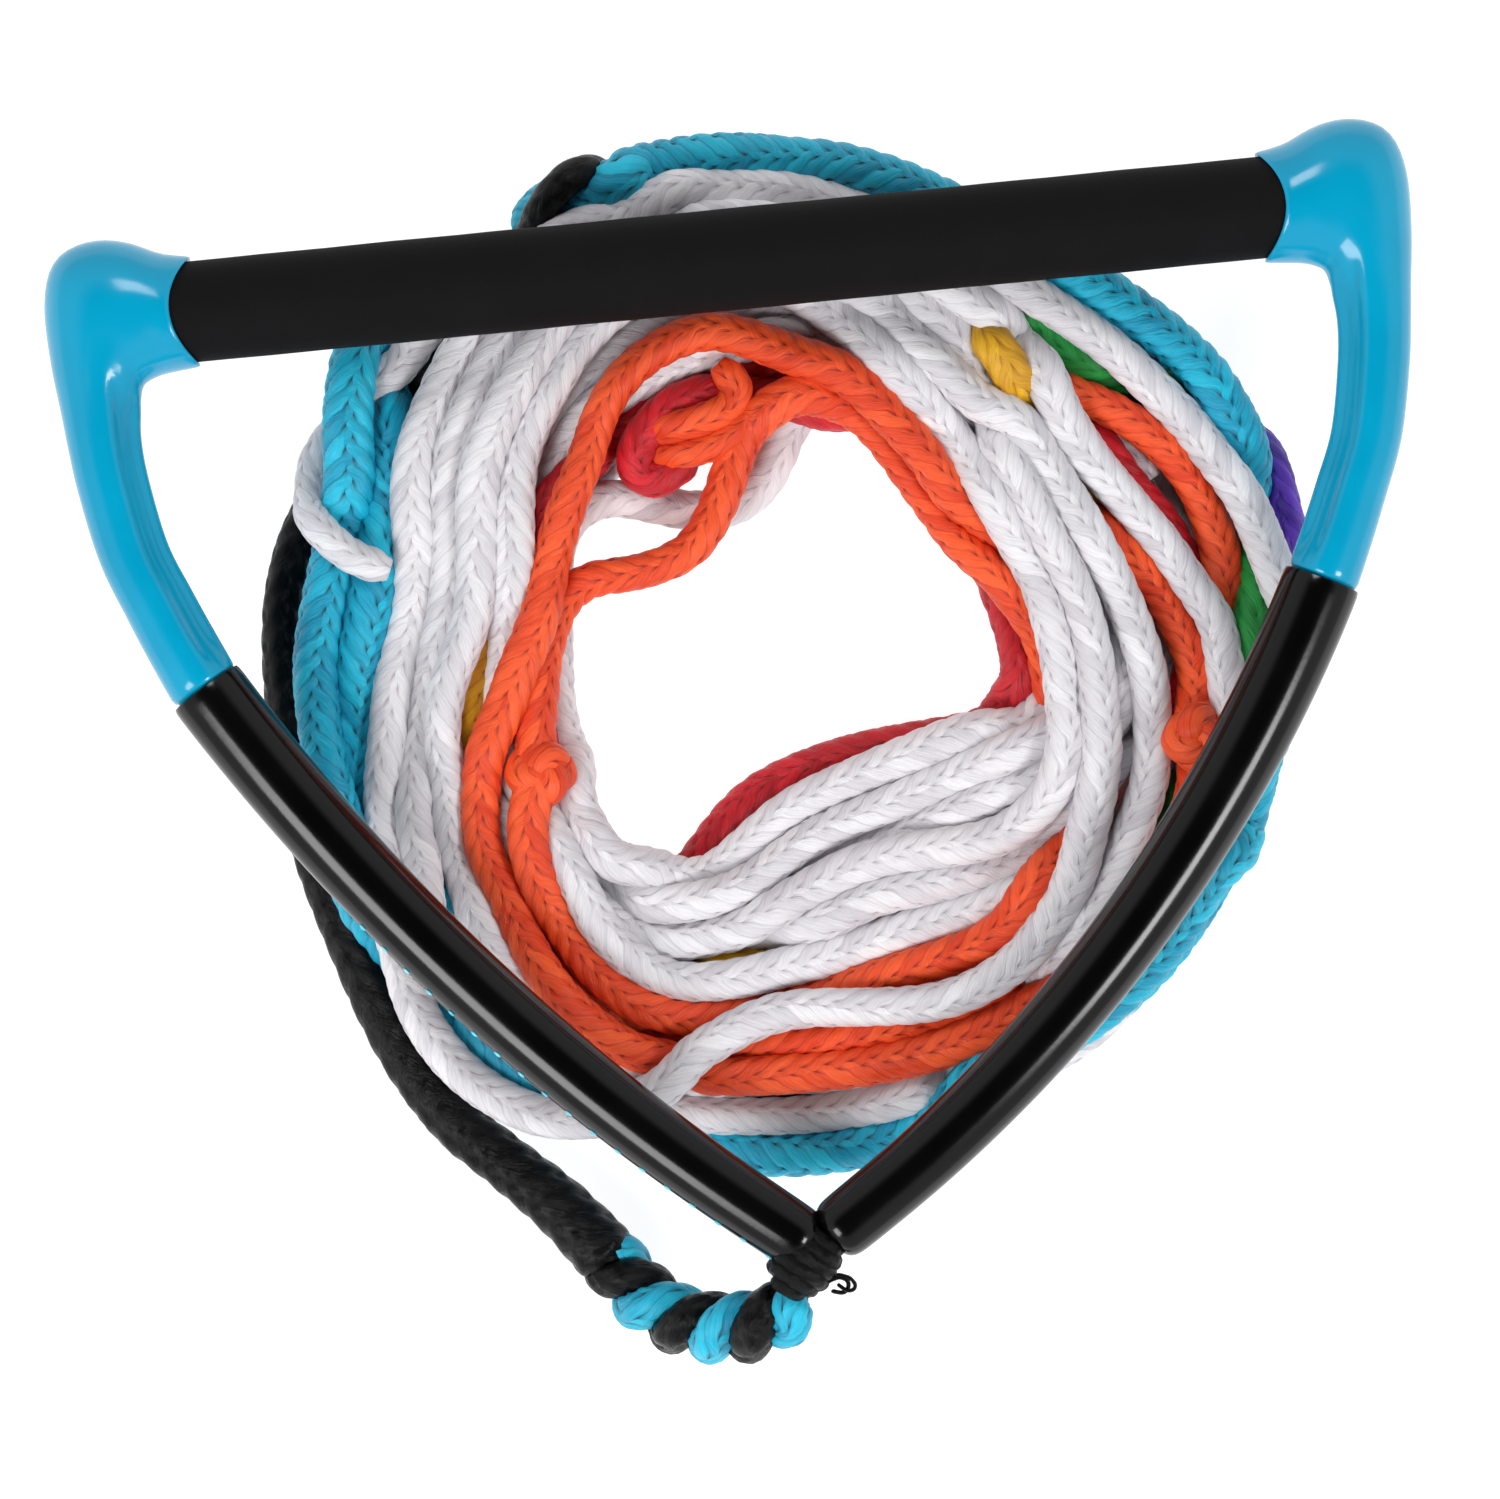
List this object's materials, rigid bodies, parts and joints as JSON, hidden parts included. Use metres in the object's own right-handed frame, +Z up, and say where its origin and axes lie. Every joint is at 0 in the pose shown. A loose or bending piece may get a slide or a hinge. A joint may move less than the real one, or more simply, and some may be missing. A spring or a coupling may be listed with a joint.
{
  "type": "water-ski tow rope handle",
  "caption": "Water-ski tow handle: rubber-gripped bar, moulded corner arms and curved guard tubes meeting at a whipped apex, with its braided line in a coil beneath.",
  "frame": {"origin": "on the resting surface, straight under the middle of the grip", "axes": "+X along the bar, -Y from the bar to the bridle's apex, +Z up off the resting surface"},
  "size_m": [0.4136, 0.3653, 0.0748],
  "materials": {
    "grip_rubber": "matt, fine-grained rubber",
    "bar_aluminium": "drawn tube",
    "float_foam": "closed-cell foam",
    "plug_plastic": "moulded",
    "arm_plastic": "glossy moulded plastic",
    "guard_plastic": "glossy extruded tube",
    "black_rope": "braided, slight sheen",
    "whipping_yarn": "wound yarn",
    "turquoise_rope": "braided polyethylene",
    "white_rope": "braided polyethylene",
    "orange_rope": "braided polyethylene",
    "red_rope": "braided polyethylene",
    "yellow_rope": "braided polyethylene",
    "green_rope": "braided polyethylene",
    "blue_rope": "braided polyethylene",
    "violet_rope": "braided polyethylene"
  },
  "bodies": {
    "rope": {"leader_twist": "turquoise_rope", "leader_braid": "black_rope", "leader_join": "black_rope", "boat_loop": "turquoise_rope", "coil_turquoise": "turquoise_rope", "coil_white": "white_rope", "coil_orange": "orange_rope", "coil_red": "red_rope", "coil_yellow": "yellow_rope", "coil_green": "green_rope", "coil_blue": "blue_rope", "coil_violet": "violet_rope", "knot_red_orange": "red_rope", "knot_orange_white": "orange_rope"},
    "splice": {"apex_whipping": "whipping_yarn"},
    "handle": {"grip_sleeve": "grip_rubber", "bar_tube": "bar_aluminium", "float_core": "float_foam", "left_end_plug": "plug_plastic", "right_end_plug": "plug_plastic", "left_arm": "arm_plastic", "right_arm": "arm_plastic", "left_guard": "guard_plastic", "right_guard": "guard_plastic", "left_tip_bush": "guard_plastic", "right_tip_bush": "guard_plastic", "bridle_rope": "black_rope"}
  },
  "joints": [
    {"name": "handle_swing", "type": "hinge", "parent": "rope", "child": "splice", "pos_m": [-0.002, -0.306, 0.057], "axis": [0, 0, 1], "range_deg": [-35, 10]},
    {"name": "handle_lift", "type": "hinge", "parent": "splice", "child": "handle", "pos_m": [-0.002, -0.306, 0.057], "axis": [1, 0, 0], "range_deg": [0, 85]}
  ]
}
